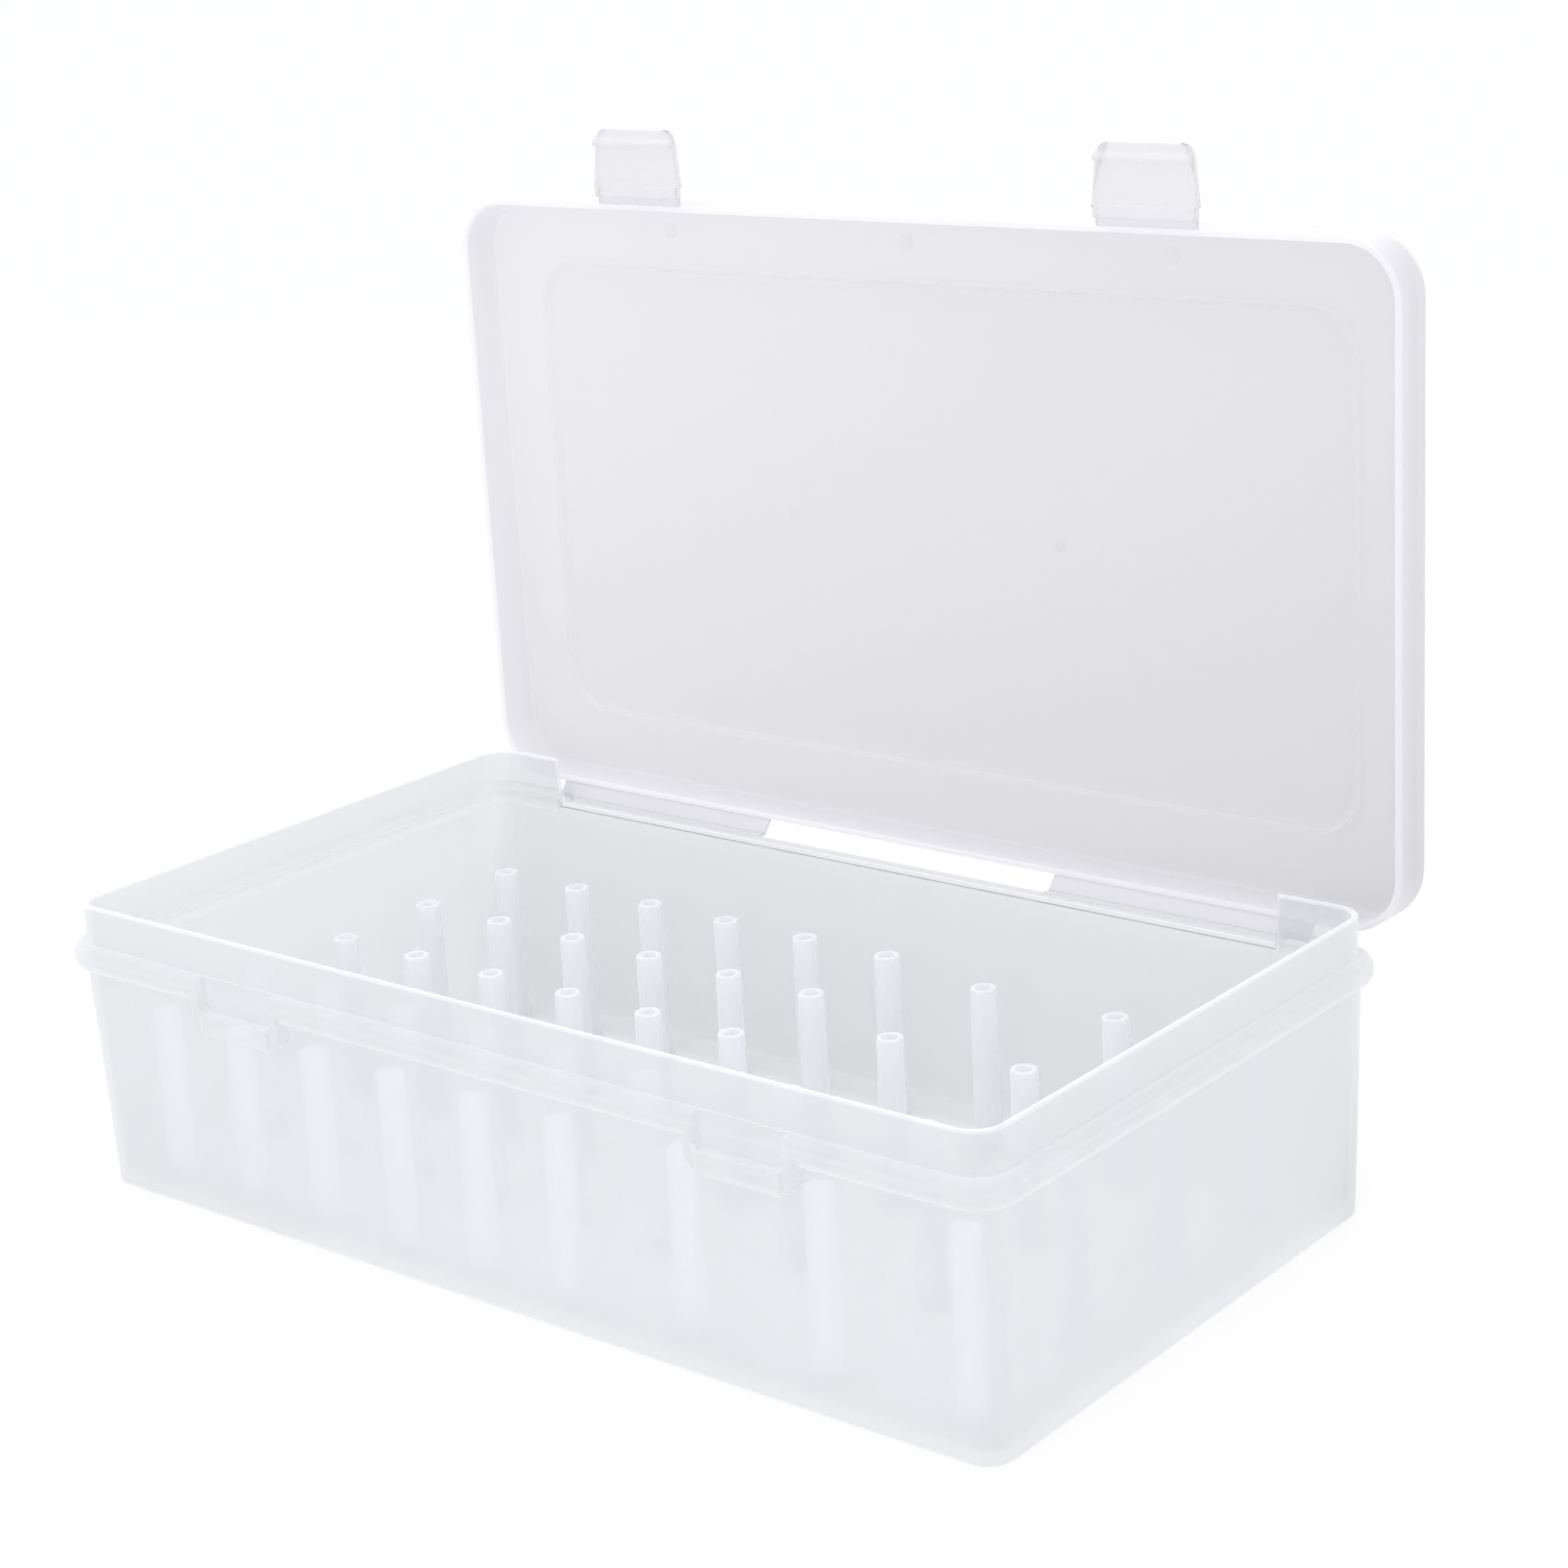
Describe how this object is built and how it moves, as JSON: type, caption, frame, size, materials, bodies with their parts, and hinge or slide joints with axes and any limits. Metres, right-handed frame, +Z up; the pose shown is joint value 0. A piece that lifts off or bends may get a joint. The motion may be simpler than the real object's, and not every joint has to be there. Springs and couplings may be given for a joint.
{
  "type": "bobbin_box",
  "caption": "Rectangular sewing spool and bobbin box: a tray of hollow round posts in two spacings, a skirted lid with raised panel on film hinges, and two flip latches.",
  "frame": {"origin": "Middle of the tub's flat underside.", "axes": "+Z up out of the tub, +X along the long side to the right when facing the latches, -Y towards the user (latch side), +Y to the hinged rear."},
  "size_m": [0.247, 0.1545, 0.2134],
  "materials": {
    "frosted_plastic": "Frosted translucent natural polypropylene, satin outside, slightly glossier on the rim and edges."
  },
  "bodies": {
    "tub_body": {"tub": "frosted_plastic", "small_posts_row_1": "frosted_plastic", "small_posts_row_2": "frosted_plastic", "small_posts_row_3": "frosted_plastic", "small_posts_row_4": "frosted_plastic", "small_posts_row_5": "frosted_plastic", "large_posts_row_1": "frosted_plastic", "large_posts_row_2": "frosted_plastic", "large_posts_row_3": "frosted_plastic", "large_posts_row_4": "frosted_plastic"},
    "web_body": {"hinge_web_left": "frosted_plastic", "hinge_web_right": "frosted_plastic"},
    "lid_body": {"lid": "frosted_plastic"},
    "latch_left_body": {"latch_left": "frosted_plastic"},
    "latch_right_body": {"latch_right": "frosted_plastic"}
  },
  "joints": [
    {"name": "lower_film_hinge", "type": "hinge", "parent": "tub_body", "child": "web_body", "pos_m": [0, 0.0702, 0.0536], "axis": [-1, 0, 0], "range_deg": [-45, 45]},
    {"name": "upper_film_hinge", "type": "hinge", "parent": "web_body", "child": "lid_body", "pos_m": [0, 0.07251, 0.05636], "axis": [-1, 0, 0], "range_deg": [-45, 45]},
    {"name": "left_latch_hinge", "type": "hinge", "parent": "lid_body", "child": "latch_left_body", "pos_m": [0, 0.07226, 0.19696], "axis": [1, 0, 0], "range_deg": [-30, 90]},
    {"name": "right_latch_hinge", "type": "hinge", "parent": "lid_body", "child": "latch_right_body", "pos_m": [0, 0.07226, 0.19696], "axis": [1, 0, 0], "range_deg": [-30, 90]}
  ],
  "couplings": [
    {"joint": "upper_film_hinge", "follows": "lower_film_hinge", "ratio": 1}
  ]
}
